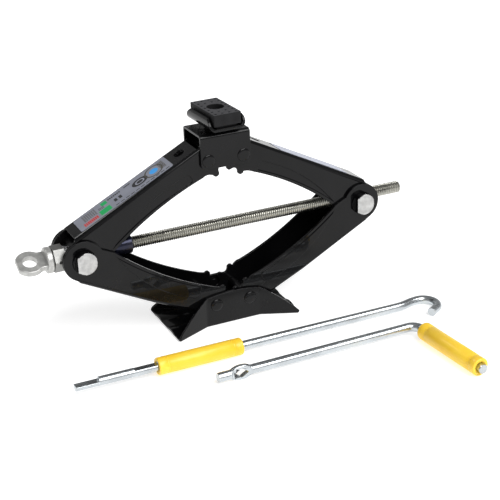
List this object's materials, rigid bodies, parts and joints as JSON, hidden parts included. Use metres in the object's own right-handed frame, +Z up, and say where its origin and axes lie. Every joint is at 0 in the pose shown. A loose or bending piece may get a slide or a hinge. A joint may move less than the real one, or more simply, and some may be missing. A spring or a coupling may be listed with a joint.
{
  "type": "scissor stabilizer jack",
  "caption": "Screw-driven scissor jack that steadies or levels a parked caravan or trailer, with a hook rod and a crank handle.",
  "frame": {"origin": "centre of the base's underside, on the ground", "axes": "+Z up; X along the lift screw, with its eye at -X and its free end at +X; -Y towards the hook rod and crank handle"},
  "size_m": [0.465, 0.3137, 0.2469],
  "materials": {
    "black_paint": "gloss",
    "zinc_plate": "satin",
    "pin_steel": "gloss",
    "screw_zinc": "satin",
    "bearing_steel": "polished",
    "blued_sleeve": "gloss",
    "tool_steel": "satin",
    "pad_rubber": "matt",
    "yellow_plastic": "semi-gloss",
    "label_film": "satin"
  },
  "bodies": {
    "base": {"base_plate": "black_paint", "base_rivet_left": "black_paint", "base_rivet_right": "black_paint"},
    "lower_left": {"lower_arm_left": "black_paint"},
    "lower_right": {"lower_arm_right": "black_paint"},
    "upper_left": {"upper_arm_left": "black_paint", "rating_label": "label_film"},
    "upper_right": {"upper_arm_right": "black_paint", "notice_label": "label_film"},
    "top": {"top_bracket": "black_paint", "top_rivet_left": "black_paint", "top_rivet_right": "black_paint", "saddle_spacer": "black_paint", "saddle_plate": "black_paint", "saddle_rivet": "zinc_plate", "rubber_pad": "pad_rubber"},
    "trunnion_left": {"trunnion_left": "pin_steel", "bearing_race_inner": "bearing_steel"},
    "trunnion_right": {"trunnion_right": "pin_steel"},
    "screw": {"lift_screw": "screw_zinc", "screw_eye": "zinc_plate", "hex_nut": "zinc_plate", "roll_pin": "bearing_steel", "bearing_race_outer": "bearing_steel", "ball_cage": "bearing_steel", "bearing_balls": "bearing_steel", "stop_sleeve": "blued_sleeve"},
    "hook_rod": {"hook_rod": "tool_steel"},
    "hook_grip": {"hook_grip": "yellow_plastic"},
    "crank": {"crank_handle": "tool_steel"},
    "crank_grip": {"crank_grip": "yellow_plastic"}
  },
  "joints": [
    {"name": "lift", "type": "hinge", "parent": "base", "child": "lower_left", "pos_m": [-0.02065, 0, 0.0254], "axis": [0, 1, 0], "range_deg": [-24, 38]},
    {"name": "lower_right_swing", "type": "hinge", "parent": "base", "child": "lower_right", "pos_m": [0.02065, 0, 0.0254], "axis": [0, 1, 0], "range_deg": [-38, 24]},
    {"name": "trunnion_left_level", "type": "hinge", "parent": "lower_left", "child": "trunnion_left", "pos_m": [-0.16787, 0, 0.1104], "axis": [0, 1, 0], "range_deg": [-38, 24]},
    {"name": "upper_left_swing", "type": "hinge", "parent": "lower_left", "child": "upper_left", "pos_m": [-0.16787, 0, 0.1104], "axis": [0, 1, 0], "range_deg": [-76, 48]},
    {"name": "top_level", "type": "hinge", "parent": "upper_left", "child": "top", "pos_m": [-0.02065, 0, 0.1954], "axis": [0, 1, 0], "range_deg": [-24, 38]},
    {"name": "trunnion_right_level", "type": "hinge", "parent": "lower_right", "child": "trunnion_right", "pos_m": [0.16787, 0, 0.1104], "axis": [0, 1, 0], "range_deg": [-24, 38]},
    {"name": "upper_right_swing", "type": "hinge", "parent": "lower_right", "child": "upper_right", "pos_m": [0.16787, 0, 0.1104], "axis": [0, 1, 0], "range_deg": [-48, 76]},
    {"name": "screw_spin", "type": "hinge", "parent": "trunnion_left", "child": "screw", "pos_m": [-0.16787, 0, 0.1104], "axis": [1, 0, 0], "continuous": true},
    {"name": "hook_rod_lift", "type": "slide", "parent": "base", "child": "hook_rod", "axis": [0, 0, 1], "range_m": [0, 0.25]},
    {"name": "hook_grip_spin", "type": "hinge", "parent": "hook_rod", "child": "hook_grip", "pos_m": [-0.214, -0.1047, 0.01317], "axis": [0.9996, 0.0206, -0.0188], "continuous": true},
    {"name": "crank_lift", "type": "slide", "parent": "base", "child": "crank", "axis": [0, 0, 1], "range_m": [0, 0.25]},
    {"name": "crank_grip_spin", "type": "hinge", "parent": "crank", "child": "crank_grip", "pos_m": [0.1637, -0.16696, 0.01004], "axis": [0.061, -0.9981, 0.0006], "continuous": true}
  ],
  "couplings": [
    {"joint": "lower_right_swing", "follows": "lift", "ratio": -1},
    {"joint": "trunnion_left_level", "follows": "lift", "ratio": -1},
    {"joint": "upper_left_swing", "follows": "lift", "ratio": -2},
    {"joint": "top_level", "follows": "lift", "ratio": 1},
    {"joint": "trunnion_right_level", "follows": "lift", "ratio": 1},
    {"joint": "upper_right_swing", "follows": "lift", "ratio": 2}
  ]
}
